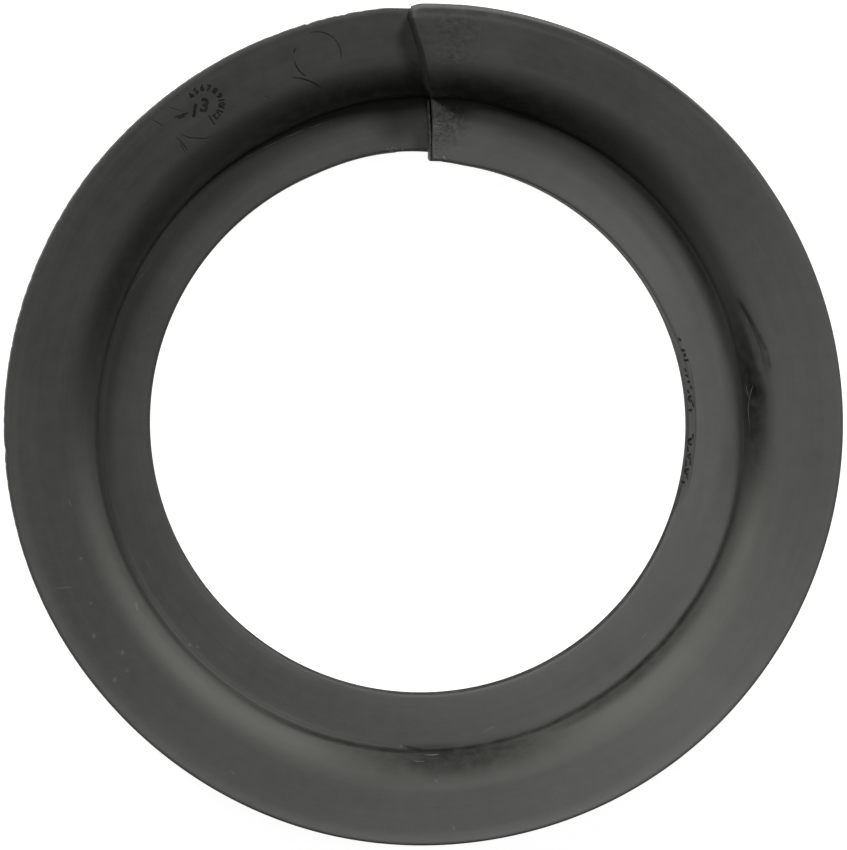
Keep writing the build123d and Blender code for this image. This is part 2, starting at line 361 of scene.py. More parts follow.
# a name that ends in Fade gives where a move begins and where it is full, in mm or degrees; Band gives a
# distance and a half width
wear = {
    # the seen side, by the tilt of its faces and by the heights of flange and ledge
    "tiltFade": (-0.2, 0.2), "flangeFade": (7.3, 8.6), "ledgeFade": (0.3, 1.5),
    # the dish sits a little off the bore's middle, in plan
    "creaseShift": (0.4, -0.12), "shiftInFade": (46.5, 53.5), "shiftOutFade": (61.0, 66.5),
    # beside the step: the raised end's outer corner, the low side's corner, and the raised end's rounded edge
    "cornerPull": 0.45, "cornerRun": 1.7, "cornerFade": (66.5, 69.5),
    "lowPull": 0.3, "lowCorner": (-1.5, 4.0), "lowCornerFade": (67.5, 69.7),
    "endRound": 0.3, "endWidth": 2.2, "endFade": (55.5, 58.0),
    # shoulder reaching further in beside the step
    "shoulderReach": 1.1, "shoulderFade": (0.5, 4.5), "shoulderBand": (58.2, 4.2),
    "shoulderHeightFade": (8.6, 11.0),
    # bearing, half span and amount: crease further out beside the step, and further in about the pinch
    "creaseOut": (0.0, 30.0, 0.65), "creaseIn": (76.0, 50.0, 0.8),
    "creaseOutBand": (54.2, 4.2), "creaseInBand": (56.5, 7.5),
    # bore edge set back over the marks
    "markStartFade": (63.0, 87.0), "markEndFade": (106.5, 110.5), "markHeightFade": (2.2, 4.4),
    "markEdgeFade": (45.6, 46.6), "markRun": 1.6, "markWidth": 0.85,
    # bearing and distance, then sizes
    "pinchStart": (69.0, 56.1), "pinchEnd": (81.5, 57.2), "pinchHeight": 0.1, "pinchDepth": 0.45,
    "ridgeWidth": 0.75, "grooveOut": 0.6, "grooveWidth": 0.95,
    "pinchInFade": (-0.15, 0.25), "pinchOutFade": (0.8, 1.15),  # shares of the way from start to end
    "pocketAt": (86.0, 56.3), "pocketSpan": 3.6, "pocketWidth": 1.5, "pocketDepth": 0.7,
    "hollowAt": (76.0, 55.6), "hollowSpan": 12.0, "hollowWidth": 1.2, "hollowDepth": 0.25,
    "foldAt": (178.4, 54.6), "foldSpan": 6.2, "foldWidth": 0.9, "foldDepth": 0.45,
    "bulgeAt": (177.8, 56.6), "bulgeSpan": 8.0, "bulgeWidth": 1.9, "bulgeHeight": 0.4,
    # the soft bore isn't quite round, nor is the rim: bearing, half span, amount outward
    "boreOval": -0.17, "boreOvalAt": 40.0, "ovalFade": (46.0, 52.0), "boreFade": (46.0, 50.0),
    "boreFlare": (-6.0, 19.0, 0.42), "endFlare": (4.0, 6.0, 0.22), "boreIn": (118.0, 40.0, -0.2),
    "rimOff": [(35, 38, 0.24), (140, 36, 0.18), (222, 30, -0.16), (330, 27, -0.17)],
    "rimFade": (65.0, 69.0), "wave": 0.07, "waveFade": (30.0, 60.0),
    # cut-looking outer edge left of the step: how deep, and where with its share; then one nick
    "roughDepth": 0.22, "roughAt": [(345, 12, 1.0), (290, 70, 0.5)], "nick": (266.8, 1.0, 0.16),
    "roughFade": (68.6, 69.8),
}


def bell(values, middle, half):
    # smooth hump, 1 in the middle and 0 from half on
    return np.clip(1 - ((values - middle) / half) ** 2, 0, 1) ** 2


def rise(values, low, high):
    # smooth climb from 0 to 1
    share = np.clip((values - low) / (high - low), 0, 1)
    return share * share * (3 - 2 * share)


def sculptRing(mesh):
    w = wear
    s = ring
    count = len(mesh.vertices)
    points = np.empty(count * 3)
    mesh.vertices.foreach_get("co", points)
    points = points.reshape(-1, 3) / mm
    normals = np.empty(count * 3)
    mesh.vertex_normals.foreach_get("vector", normals)
    normals = normals.reshape(-1, 3)
    r = np.hypot(points[:, 0], points[:, 1])
    z = points[:, 2]
    turn = np.degrees(np.arctan2(points[:, 0], points[:, 1]))  # -180 to 180, 0 at the step
    b = turn % 360
    outward = points[:, :2] / r[:, None]
    upper = rise(normals[:, 2], *w["tiltFade"])  # seen side, not the neck or the underside
    upper *= np.where(r > s["shoulderDistance"], rise(z, *w["flangeFade"]), rise(z, *w["ledgeFade"]))
    places = ("boreRadius", "creaseRadius", "shoulderDistance", "cornerDistance", "rimRadius")
    bearings = ("stepAtBore", "stepAtCrease", "stepAtShoulder", "stepAtCorner", "stepAtRim")
    line = np.interp(r, [s[name] for name in places], [s[name] for name in bearings])
    past = turn - line  # degrees past the step's line, positive on the raised end
    raised = (past > -0.4) & (turn < 90)
    pastMm = np.radians(past) * r
    radial = np.zeros(count)
    lift = np.zeros(count)
    along = np.zeros(count)  # along the normal

    # the raised end: its outer corner, its rounded edge and its fuller shoulder
    share = np.clip(past / w["cornerRun"], 0, 1)
    pull = w["cornerPull"] * (1 - share) ** 2 * rise(r, *w["cornerFade"])
    radial -= np.where(raised & (past > 0.02), pull, 0)
    pull = w["lowPull"] * bell(turn, *w["lowCorner"]) * rise(r, *w["lowCornerFade"])
    radial -= np.where(past < 0.02, pull, 0)
    nearEnd = np.where(raised, (1 - np.clip(pastMm / w["endWidth"], 0, 1)) ** 2, 0)
    lift -= w["endRound"] * nearEnd * upper * rise(r, *w["endFade"])
    reach = np.where(raised, 1 - rise(past, *w["shoulderFade"]), 0)
    high = upper * rise(z, *w["shoulderHeightFade"])
    radial -= w["shoulderReach"] * reach * bell(r, *w["shoulderBand"]) * high

    middle, half, amount = w["creaseOut"]
    radial += amount * bell(turn, middle, half) * bell(r, *w["creaseOutBand"]) * upper
    middle, half, amount = w["creaseIn"]
    radial -= amount * bell(turn, middle, half) * bell(r, *w["creaseInBand"]) * upper

    # the bore's edge over the marks, and the slightly uneven rounds of bore and rim
    inMarks = rise(turn, *w["markStartFade"]) * (1 - rise(turn, *w["markEndFade"]))
    atEdge = 1 - rise(r, *w["markEdgeFade"])
    inward = np.clip((w["markEdgeFade"][1] - r) / w["markRun"], 0, 1)
    overMarks = rise(z, *w["markHeightFade"]) * atEdge * inward
    radial += w["markWidth"] * inMarks * overMarks
    radial += w["boreOval"] * np.cos(2 * np.radians(b - w["boreOvalAt"])) * (1 - rise(r, *w["ovalFade"]))
    nearBore = 1 - rise(r, *w["boreFade"])
    for name, there in (("boreFlare", past < -0.4), ("endFlare", past > 0), ("boreIn", True)):
        middle, half, amount = w[name]
        radial += amount * bell(turn, middle, half) * there * nearBore
    for middle, half, amount in w["rimOff"]:
        radial += amount * bell(b, middle, half) * rise(r, *w["rimFade"])

    # the pinch: a thin ridge with a groove outside it, then a pocket where it meets the crease
    (b0, r0), (b1, r1) = w["pinchStart"], w["pinchEnd"]
    share = (turn - b0) / (b1 - b0)
    ridge = r0 + (r1 - r0) * share
    onPinch = rise(share, *w["pinchInFade"]) * (1 - rise(share, *w["pinchOutFade"])) * upper
    along += w["pinchHeight"] * bell(r, ridge, w["ridgeWidth"]) * onPinch
    along -= w["pinchDepth"] * bell(r, ridge + w["grooveOut"], w["grooveWidth"]) * onPinch

    # the pocket, the hollow inside the pinch, and the fold and the dull bulge at the bottom
    for name, amount in (("pocket", -w["pocketDepth"]), ("hollow", -w["hollowDepth"]),
                         ("fold", -w["foldDepth"]), ("bulge", w["bulgeHeight"])):
        bearing, distance = w[name + "At"]
        along += amount * bell(b, bearing, w[name + "Span"]) * bell(r, distance, w[name + "Width"]) * upper

    # gentle waves of soft rubber, and the cut-looking outer edge left of the step
    turned = np.radians(b)
    waves = 0.5 * np.sin(3 * turned + 0.6) + 0.3 * np.sin(7 * turned + r * 0.22)
    waves += 0.2 * np.sin(13 * turned - r * 0.31)
    far = rise(np.abs(turn), *w["waveFade"])
    lift += w["wave"] * waves * far * upper * rise(r, *w["boreFade"])
    atRim = rise(r, *w["roughFade"])
    rough = np.abs(np.sin(b * 2.9) * np.sin(b * 1.7 + 1) + 0.5 * np.sin(b * 7.3)) / 1.5
    for middle, half, roughShare in w["roughAt"]:
        radial -= w["roughDepth"] * roughShare * rough * atRim * bell(b, middle, half)
    middle, half, amount = w["nick"]
    radial -= amount * bell(b, middle, half) * atRim

    # the whole dish a little off the middle
    offset = rise(r, *w["shiftInFade"]) * (1 - rise(r, *w["shiftOutFade"])) * upper
    points[:, :2] += outward * radial[:, None] + offset[:, None] * np.array(w["creaseShift"])
    points[:, 2] += lift
    points += normals * along[:, None]
    mesh.vertices.foreach_set("co", (points * mm).ravel())
    mesh.update()


# Shared shader effects: places, noises, thin marks. All of them read the object's own coordinates in mm.

def noise(tree, vector, scale, detail, roughness):
    inputs = {"Vector": vector, "Scale": scale, "Detail": detail, "Roughness": roughness}
    return addNode(tree, "ShaderNodeTexNoise", inputs).outputs[0]


def hump(tree, value, middle, half):
    # 1 at the middle, 0 from half on, smooth between
    off = sums(tree, "ABSOLUTE", minus(tree, value, middle))
    return mapRange(tree, off, 0.0, half, 1.0, 0.0, smooth=True)


def ringPlaceGroup():
    # distance from the axis, bearing and height, and a vector that runs with the ring
    outputs = [("Distance", "Float"), ("Bearing", "Float"), ("Height", "Float"), ("Along", "Vector")]
    tree, given, result = newTree("ringPlace", "ShaderNodeTree", [("Vector", "Vector", None)], outputs)
    x, y, z = separate(tree, given["Vector"])
    distance = vectorSums(tree, "LENGTH", combine(tree, x, y))
    turn = sums(tree, "ARCTAN2", x, y)
    along = combine(tree, distance, times(tree, turn, 6.0), z)
    for socket, value in zip(result.inputs, (distance, sums(tree, "DEGREES", turn), z, along)):
        feed(tree, socket, value)
    return tree


def markSockets(own):
    inputs = [("Vector", "Vector", None)] + own
    inputs += [(name, "Float", 0.0) for name in ("Width", "Tone", "Tone In")]
    return inputs, [("Tone", "Float")]


def finishMark(tree, given, result, off, fade):
    # adds a mark's tone to that of the marks before it
    mask = times(tree, mapRange(tree, off, 0.0, given["Width"], 1.0, 0.0, smooth=True), fade)
    feed(tree, result.inputs["Tone"], timesPlus(tree, mask, given["Tone"], given["Tone In"]))


def lineMarkGroup():
    # a thin straight mark between two places in plan, fading at its ends
    own = [("Start", "Vector", None), ("End", "Vector", None)]
    inputs, outputs = markSockets(own)
    tree, given, result = newTree("lineMark", "ShaderNodeTree", inputs, outputs)
    flat = vectorSums(tree, "MULTIPLY", given["Vector"], (1, 1, 0))
    reach = vectorSums(tree, "SUBTRACT", given["End"], given["Start"])
    there = vectorSums(tree, "SUBTRACT", flat, given["Start"])
    share = sums(tree, "DIVIDE", vectorSums(tree, "DOT_PRODUCT", there, reach),
                 vectorSums(tree, "DOT_PRODUCT", reach, reach), clamp=True)
    off = vectorSums(tree, "DISTANCE", there, scaled(tree, reach, share))
    middle = sums(tree, "ABSOLUTE", minus(tree, share, 0.5))
    finishMark(tree, given, result, off, mapRange(tree, middle, 0.25, 0.5, 1.0, 0.35, smooth=True))
    return tree


def arcMarkGroup():
    # a thin round mark about a centre in plan; its middle bearing and half span are in degrees
    own = [("Centre", "Vector", None)]
    own += [(name, "Float", 0.0) for name in ("Radius", "Middle", "Half Span")]
    inputs, outputs = markSockets(own)
    tree, given, result = newTree("arcMark", "ShaderNodeTree", inputs, outputs)
    flat = vectorSums(tree, "MULTIPLY", given["Vector"], (1, 1, 0))
    there = vectorSums(tree, "SUBTRACT", flat, given["Centre"])
    x, y, _ = separate(tree, there)
    bearing = sums(tree, "DEGREES", sums(tree, "ARCTAN2", x, y))
    away = sums(tree, "ABSOLUTE", sums(tree, "WRAP", minus(tree, bearing, given["Middle"]), 180.0, -180.0))
    off = sums(tree, "ABSOLUTE", minus(tree, vectorSums(tree, "LENGTH", there), given["Radius"]))
    edge = sums(tree, "DIVIDE", away, given["Half Span"])
    finishMark(tree, given, result, off, mapRange(tree, edge, 0.6, 1.0, 1.0, 0.0, smooth=True))
    return tree


def rubberGrainGroup():
    # fine moulded grain, soft unevenness and faint streaks that run with the ring
    names = ("Grain", "Patches", "Streaks", "Mottle", "Scuffs")
    inputs = [("Vector", "Vector", None), ("Along", "Vector", None)]
    outputs = [(name, "Float") for name in names]
    tree, given, result = newTree("rubberGrain", "ShaderNodeTree", inputs, outputs)
    spot = given["Vector"]
    drawnOut = vectorSums(tree, "MULTIPLY", given["Along"], (1.0, 0.16, 1.0))
    noises = {  # what it reads, scale, detail, roughness
        "Grain": (spot, 2.6, 2.0, 0.6),
        "Patches": (spot, 0.055, 3.0, 0.5),
        "Streaks": (drawnOut, 1.1, 3.0, 0.6),
        "Mottle": (spot, 0.42, 4.0, 0.6),
        "Scuffs": (spot, 1.1, 4.0, 0.7),
    }
    for name, values in noises.items():
        feed(tree, result.inputs[name], noise(tree, *values))
    return tree


groups = {
    "ringPlace": ringPlaceGroup(), "lineMark": lineMarkGroup(), "arcMark": arcMarkGroup(),
    "rubberGrain": rubberGrainGroup(),
}


def useGroup(tree, name, inputs):
    return addNode(tree, "ShaderNodeGroup", inputs, node_tree=groups[name]).outputs


def mixColour(tree, factor, first, second):
    # input 0 is the factor, 6 and 7 are the two colours, output 2 is the mixed colour
    return addNode(tree, "ShaderNodeMix", {0: factor, 6: first, 7: second}, data_type="RGBA").outputs[2]


def startRubber(name, specular):
    # a new material with its places in mm and its noises
    material = bpy.data.materials.new(name)
    material.use_nodes = True
    tree = material.node_tree
    tree.nodes["Principled BSDF"].inputs["Specular IOR Level"].default_value = specular
    coordinates = addNode(tree, "ShaderNodeTexCoord")
    spot = vectorSums(tree, "MULTIPLY", coordinates.outputs["Object"], (1000, 1000, 1000))
    place = useGroup(tree, "ringPlace", {"Vector": spot})
    grain = useGroup(tree, "rubberGrain", {"Vector": spot, "Along": place["Along"]})
    return material, spot, place, grain


def finishRubber(tree, colour, rough, height):
    bump = addNode(tree, "ShaderNodeBump", {"Distance": mm, "Strength": 1.0, "Height": height})
    principled = tree.nodes["Principled BSDF"]
    feed(tree, principled.inputs["Base Color"], colour)
    feed(tree, principled.inputs["Roughness"], rough)
    feed(tree, principled.inputs["Normal"], bump.outputs[0])


# Looks of the ring's rubber: colours are (red, green, blue), places in mm, bearings in degrees

tone = {
    "darkColour": (0.0185, 0.0185, 0.0168), "dustColour": (0.135, 0.135, 0.128),
    # the last colour here is near black: it paints shade on the wall, the shoulder and the crease, and grime
    # on the bore's wall
    "oliveDust": (0.136, 0.135, 0.122), "shadeAndGrimeColour": (0.006, 0.006, 0.0045),
    "flangeTowards": 145.0, "flangeDust": 0.335, "flangeSwing": 0.26,
    "ledgeTowards": 115.0, "ledgeDust": 0.405, "ledgeSwing": 0.25,
    "dustNoise": {"Patches": 0.16, "Mottle": 0.2, "Streaks": 0.14},
    "creaseShade": 0.05, "creaseWidth": 2.6, "lineShade": 0.85,
    "rimWear": 0.13, "rimDust": 0.05, "lowRimDust": 0.3, "lowRimTowards": 198.0,
    "scuffAmount": 1.7, "boreShadeAndGrime": 0.85, "boreDust": 0.1, "roughness": 0.68, "specular": 0.35,
    "grainDepth": 0.012, "mottleDepth": 0.05, "streakDepth": 0.012, "scuffDepth": 0.16,
    # bearing, half span, amount added to the dust mask; the first flange side is a painted highlight on the
    # lower right, and the rim's entry is painted shade right of the step
    "flangeSides": [(135.0, 42.0, 0.19), (32.0, 42.0, -0.06)],
    "handledEnd": (8.0, 12.0, 0.07), "innerLedge": (48.0, 28.0, 0.12), "shadedRim": (23.0, 34.0, -0.42),
    # the scuffed end: bearing and half span, distance and half width, then from, to and share
    "scuffTurn": (4.5, 6.5), "scuffLedge": (50.5, 5.5), "scuffFlange": (57.0, 62.0, 0.35),
    # sides of the ring that the painted shade is darkest on: the crease's, the bore wall's and the thin
    # line's
    "creaseTowards": 8.0, "boreTowards": 200.0, "lineTurn": (140.0, 75.0),
    # where looks fade, in mm beyond the crease: ledge into flange, the bore's side, the wall, the thin line
    "ledgeFade": (-2.5, 0.5), "boreSideFade": (-5.5, -4.0), "wallFade": (-1.1, 1.3),
    "creaseAt": 0.5, "lineBand": (0.45, 0.8), "dishBand": (2.4, 6.5),
    # in mm from the axis, then in mm of height, then in degrees
    "rimEdgeFade": (68.68, 69.58), "rimBandFade": (66.98, 69.88), "rimDustFade": (66.5, 69.5),
    "boreWallFade": (46.0, 46.4), "boreTopFade": (2.55, 3.0),
    "rubbedIn": (-3.0, 5.0), "rubbedOut": (0.0, 60.0), "bottomFade": (132.0, 172.0),
    # how far dust, the mottle and the painted shade (with the bore wall's grime) roughen the rubber, and the
    # scuffs' own middle
    "dustRough": 0.12, "mottleRough": 0.25, "shadeAndGrimeRough": 0.22, "scuffLevel": 0.58,
}

# patches on the ledge and the shoulder: bearing and half span, then distance beyond the crease
# and half width, then the amount
# the first three lift the shade on the ledge beside the crease at the top, and the last paints the shoulder's
# highlight at the lower left: painted light; the others lighten or darken the dust
lightAndDustPatches = [
    (2.0, 34.0, -0.8, 1.8, 0.2),
    (8.0, 11.0, -0.4, 2.0, 0.32),
    (52.0, 36.0, -2.3, 1.7, 0.33),
    (60.0, 25.0, 4.9, 2.8, 0.15),
    (98.0, 12.0, -2.0, 1.9, -0.16),
    (108.0, 15.0, 3.4, 2.0, 0.17),
    (-128.0, 64.0, 2.5, 3.6, 0.41),
]

# lines of painted shade along the crease, in the same order
creaseShadeLines = [
    (52.0, 36.0, -0.3, 1.25, 0.68),
    (143.0, 46.0, 1.2, 1.6, 0.55),
    (-105.0, 65.0, 0.35, 0.5, 0.42),
]

# patches of painted shade on the wall and the shoulder, in the same order
shadePatches = [
    (-2.0, 78.0, 2.8, 5.6, 1.0),
    (-60.0, 46.0, 2.4, 4.2, 0.7),
    (84.0, 26.0, 1.8, 4.0, 0.9),
    (40.0, 17.0, 1.8, 3.2, 0.45),
    (174.0, 31.0, 1.4, 5.4, 0.8),
]

# thin straight marks: from and to in plan, width, tone
lineMarks = [
    # light ticks and scratches
    ((-48.0, -29.3), (-47.8, -30.5), 0.22, 0.9),
    ((-61.3, -26.7), (-58.8, -26.5), 0.25, 0.22),
    ((-57.35, -21.7), (-57.2, -21.85), 0.38, 0.6),
    ((-55.25, -34.6), (-55.05, -34.75), 0.5, 0.55),
    ((-59.3, -12.0), (-58.9, -13.0), 0.25, 0.25),
    ((-55.7, -29.1), (-55.5, -29.3), 0.4, 0.35),
    ((-50.55, -37.4), (-50.2, -37.5), 0.7, 0.4),
    ((-49.8, -40.4), (-49.55, -40.5), 0.65, 0.28),
    ((-51.6, -41.7), (-51.75, -42.3), 0.5, 0.42),
    ((-38.8, -36.6), (-38.5, -36.9), 0.3, 0.45),
    ((-37.6, -36.9), (-37.1, -37.3), 0.3, 0.35),
    ((10.6, -51.4), (12.3, -50.6), 0.35, 0.2),
    ((1.8, -58.9), (2.2, -59.4), 0.3, 0.4),
    ((4.8, -66.7), (5.1, -67.4), 0.3, 0.35),
    ((-3.5, -53.7), (-3.1, -54.0), 0.3, 0.45),
    ((5.7, 53.1), (6.0, 52.8), 0.35, 0.7),
    ((4.8, 52.1), (5.2, 51.8), 0.35, 0.55),
    ((-46.0, -22.5), (-45.3, -23.9), 0.25, 0.18),
    ((-32.5, -57.2), (-31.5, -58.0), 0.25, 0.2),
    ((36.8, -36.3), (38.1, -34.9), 0.25, 0.2),
    ((46.6, -29.4), (47.6, -27.8), 0.25, 0.15),
    # painted highlight on the pinch's ridge and painted shade in the groove outside it
    ((52.9, 19.7), (55.1, 15.0), 0.4, 0.2),
    ((55.1, 15.0), (56.6, 10.8), 0.4, 0.2),
    ((52.5, 21.0), (55.5, 15.9), 0.55, -0.4),
    ((55.5, 15.9), (57.3, 12.1), 0.6, -0.35),
    ((57.3, 12.1), (57.8, 9.3), 0.5, -0.25),
    # the fold at the bottom: painted shade in the fold
    ((-2.8, -54.0), (0.5, -54.6), 0.5, -0.6),
    ((0.5, -54.6), (5.3, -54.6), 0.5, -0.65),
    # beside the step: a dark line of painted shade by the step's face, and a light one on the rim
    ((-1.9, 60.8), (-1.2, 60.1), 0.4, -0.35),
    ((-1.9, 69.1), (-1.9, 68.4), 0.4, 0.2),
]

# thin round marks: centre, radius, middle bearing, half span, width, tone
arcMarks = [
    ((0.0, 0.0), 46.1, 222.0, 24.0, 0.9, 0.13),
    ((0.0, 0.0), 46.0, 91.0, 17.0, 0.22, -0.35),  # outer edge of the marked strip
    ((0.0, 0.0), 45.3, 102.5, 8.5, 0.85, -0.26),  # grime between its last marks
    ((0.4, -0.12), 53.5, 240.0, 52.0, 0.6, 0.1),  # light line inside the crease, down the left
    ((0.0, 0.0), 69.9, 1.2, 3.0, 1.3, -0.18),  # dark stretches of the raised end's rim
    ((0.0, 0.0), 69.9, 6.8, 1.7, 1.3, -0.16),
]


def blackRubber():
    t = tone
    s = ring
    material, spot, place, grain = startRubber("blackRubber", t["specular"])
    tree = material.node_tree
    distance, bearing = place["Distance"], place["Bearing"]

    # how far beyond the crease, which draws in about the pinch
    middle, half, amount = wear["creaseIn"]
    drawnIn = times(tree, hump(tree, bearing, middle, half), amount)
    beyondCrease = minus(tree, plus(tree, distance, drawnIn), s["creaseRadius"])

    def swing(towards):
        # 1 on the named side of the ring, -1 across from it
        return sums(tree, "DIVIDE", vectorSums(tree, "DOT_PRODUCT", spot, placeAt(1.0, towards)), distance)

    def patch(middle, half, beyond, width):
        # 1 at a bearing and a distance beyond the crease, fading out over half a span and half a width
        return times(tree, hump(tree, bearing, middle, half), hump(tree, beyondCrease, beyond, width))

    # the rubber's dust, lighter towards the right and the lower right and darker at the left, worn by noise;
    # the same mask carries the painted highlights and lifted shade added below
    onLedge = mapRange(tree, beyondCrease, *t["ledgeFade"], 1.0, 0.0, smooth=True)
    flange = timesPlus(tree, swing(t["flangeTowards"]), t["flangeSwing"], t["flangeDust"])
    ledge = timesPlus(tree, swing(t["ledgeTowards"]), t["ledgeSwing"], t["ledgeDust"])
    dustAndLight = timesPlus(tree, minus(tree, ledge, flange), onLedge, flange)
    # painted highlight on the flange and shoulder at the lower right, a little darker at the upper right
    for middle, half, amount in t["flangeSides"]:
        side = times(tree, hump(tree, bearing, middle, half), minus(tree, 1.0, onLedge))
        dustAndLight = timesPlus(tree, side, amount, dustAndLight)
    middle, half, amount = t["handledEnd"]
    dustAndLight = timesPlus(tree, hump(tree, bearing, middle, half), amount, dustAndLight)
    middle, half, amount = t["innerLedge"]
    byBore = mapRange(tree, beyondCrease, *t["boreSideFade"], 1.0, 0.0)
    dustAndLight = timesPlus(tree, times(tree, hump(tree, bearing, middle, half), byBore), amount, dustAndLight)
    # patches that lift the shade near the crease and paint the shoulder's highlight: painted light, with some
    # dust
    for middle, half, beyond, width, amount in lightAndDustPatches:
        dustAndLight = timesPlus(tree, patch(middle, half, beyond, width), amount, dustAndLight)
    towardsBore = mapRange(tree, distance, s["boreRadius"], s["boreRadius"] + 5, 1.0, 0.0)
    dustAndLight = timesPlus(tree, towardsBore, t["boreDust"], dustAndLight)
    for output, amount in t["dustNoise"].items():
        dustAndLight = plus(tree, dustAndLight, times(tree, minus(tree, grain[output], 0.5), amount))

    # rim: rubbed lighter, most of all beside the step on the raised end
    edge = mapRange(tree, distance, *t["rimEdgeFade"], 0.0, 1.0, smooth=True)
    wideEdge = mapRange(tree, distance, *t["rimBandFade"], 0.0, 1.0, smooth=True)
    lowRim = mapRange(tree, swing(t["lowRimTowards"]), 0.1, 0.9, 0.0, t["lowRimDust"], smooth=True)
    dustAndLight = timesPlus(tree, wideEdge, lowRim, dustAndLight)
    nearStep = mapRange(tree, bearing, *t["rubbedOut"], 1.0, 0.15)
    nearStep = times(tree, nearStep, mapRange(tree, bearing, *t["rubbedIn"], 0.0, 1.0))
    worn = times(tree, mapRange(tree, grain["Mottle"], 0.4, 0.62, 0.2, 1.0), t["rimWear"])
    dustAndLight = timesPlus(tree, times(tree, edge, worn), plus(tree, nearStep, 0.15), dustAndLight)
    dustAndLight = timesPlus(tree, mapRange(tree, distance, *t["rimDustFade"], 0.0, 1.0), t["rimDust"], dustAndLight)
    # painted shade on the rim right of the step, where its round catches the lamps
    middle, half, amount = t["shadedRim"]
    dustAndLight = timesPlus(tree, times(tree, hump(tree, bearing, middle, half), edge), amount, dustAndLight)

    # the handled end: scuffed on the ledge and the flange beside the step
    low, high, share = t["scuffFlange"]
    onFlange = mapRange(tree, distance, low, high, 0.0, share)
    across = plus(tree, hump(tree, distance, *t["scuffLedge"]), onFlange)
    scuffed = times(tree, times(tree, hump(tree, bearing, *t["scuffTurn"]), across), t["scuffAmount"])
    dustAndLight = timesPlus(tree, minus(tree, grain["Scuffs"], t["scuffLevel"]), scuffed, dustAndLight)

    # thin marks, each with its own tone
    markTone = 0.0
    for start, finish, width, light in lineMarks:
        markTone = useGroup(tree, "lineMark", {
            "Vector": spot, "Start": (*start, 0), "End": (*finish, 0), "Width": width, "Tone": light,
            "Tone In": markTone,
        })["Tone"]
    for centre, radius, middle, half, width, light in arcMarks:
        markTone = useGroup(tree, "arcMark", {
            "Vector": spot, "Centre": (*centre, 0), "Radius": radius, "Middle": middle, "Half Span": half,
            "Width": width, "Tone": light, "Tone In": markTone,
        })["Tone"]
    dustAndLight = plus(tree, dustAndLight, markTone, clamp=True)

    # painted shade: in the crease on the step's side of the ring, patches on the wall, thin lines in the
    # crease, and the bore's wall, which is partly grime
    # painted shadow in the crease at the top, where the wall shades the ledge
    crease = times(tree, hump(tree, beyondCrease, t["creaseAt"], t["creaseWidth"]), t["creaseShade"])
    shadeAndGrime = times(tree, crease, mapRange(tree, swing(t["creaseTowards"]), -0.1, 0.75, 0.05, 1.0, smooth=True))
    onWall = mapRange(tree, beyondCrease, *t["wallFade"], 0.15, 1.0, smooth=True)
    # patches of painted shade on the wall and the shoulder
    for middle, half, beyond, width, amount in shadePatches:
        away = sums(tree, "WRAP", minus(tree, bearing, middle), 180.0, -180.0)
        shadeSpot = times(tree, hump(tree, away, 0.0, half), hump(tree, beyondCrease, beyond, width))
        shadeAndGrime = sums(tree, "MAXIMUM", shadeAndGrime, times(tree, times(tree, shadeSpot, amount), onWall))
    # a thin line of painted shade in the crease on the lower side, then lines of painted shade along it
    thin = times(tree, hump(tree, beyondCrease, *t["lineBand"]), t["lineShade"])
    atBottom = mapRange(tree, sums(tree, "ABSOLUTE", bearing), *t["bottomFade"], 0.0, 1.0, smooth=True)
    lowerSide = sums(tree, "MAXIMUM", hump(tree, bearing, *t["lineTurn"]), atBottom)
    shadeAndGrime = sums(tree, "MAXIMUM", shadeAndGrime, times(tree, thin, lowerSide))
    for middle, half, beyond, width, amount in creaseShadeLines:
        shadeAndGrime = sums(tree, "MAXIMUM", shadeAndGrime, times(tree, patch(middle, half, beyond, width), amount))
    # the bore's wall darker, most of all at the lower left: partly grime, partly painted shade of the steep
    # wall
    lowDown = mapRange(tree, place["Height"], *t["boreTopFade"], 1.0, 0.0)
    boreWall = times(tree, lowDown, mapRange(tree, distance, *t["boreWallFade"], 1.0, 0.0))
    boreShadeAndGrime = mapRange(tree, swing(t["boreTowards"]), -0.7, 0.1, 0.2, t["boreShadeAndGrime"])
    shadeAndGrime = sums(tree, "MAXIMUM", shadeAndGrime, times(tree, boreWall, boreShadeAndGrime))
    shadeAndGrime = times(tree, shadeAndGrime, mapRange(tree, grain["Mottle"], 0.3, 0.6, 0.8, 1.15), clamp=True)

    inDish = hump(tree, beyondCrease, *t["dishBand"])
    colour = mixColour(tree, inDish, (*t["dustColour"], 1), (*t["oliveDust"], 1))
    colour = mixColour(tree, dustAndLight, (*t["darkColour"], 1), colour)
    # painted shade, with some grime on the bore's wall, darkens the colour towards near black
    colour = mixColour(tree, shadeAndGrime, colour, (*t["shadeAndGrimeColour"], 1))

    rough = timesPlus(tree, dustAndLight, t["dustRough"], t["roughness"])
    rough = timesPlus(tree, minus(tree, grain["Mottle"], 0.5), t["mottleRough"], rough)
    rough = timesPlus(tree, shadeAndGrime, t["shadeAndGrimeRough"], rough, clamp=True)

    height = times(tree, grain["Grain"], t["grainDepth"])
    height = timesPlus(tree, grain["Mottle"], t["mottleDepth"], height)
    height = timesPlus(tree, grain["Scuffs"], times(tree, scuffed, t["scuffDepth"]), height)
    height = timesPlus(tree, grain["Streaks"], t["streakDepth"], height)
    finishRubber(tree, colour, rough, height)
    return material


def smallRubber(name, lowColour, highColour, roughness, specular):
    # the same rubber where it is only a line or a crumb: two tones mixed by the mottle
    material, _, _, grain = startRubber(name, specular)
    tree = material.node_tree
    share = mapRange(tree, grain["Mottle"], 0.35, 0.65, 0.0, 1.0, smooth=True)
    colour = mixColour(tree, share, (*lowColour, 1), (*highColour, 1))
    rough = timesPlus(tree, minus(tree, grain["Grain"], 0.5), 0.3, roughness)
    finishRubber(tree, colour, rough, times(tree, grain["Grain"], 0.03))
    return material


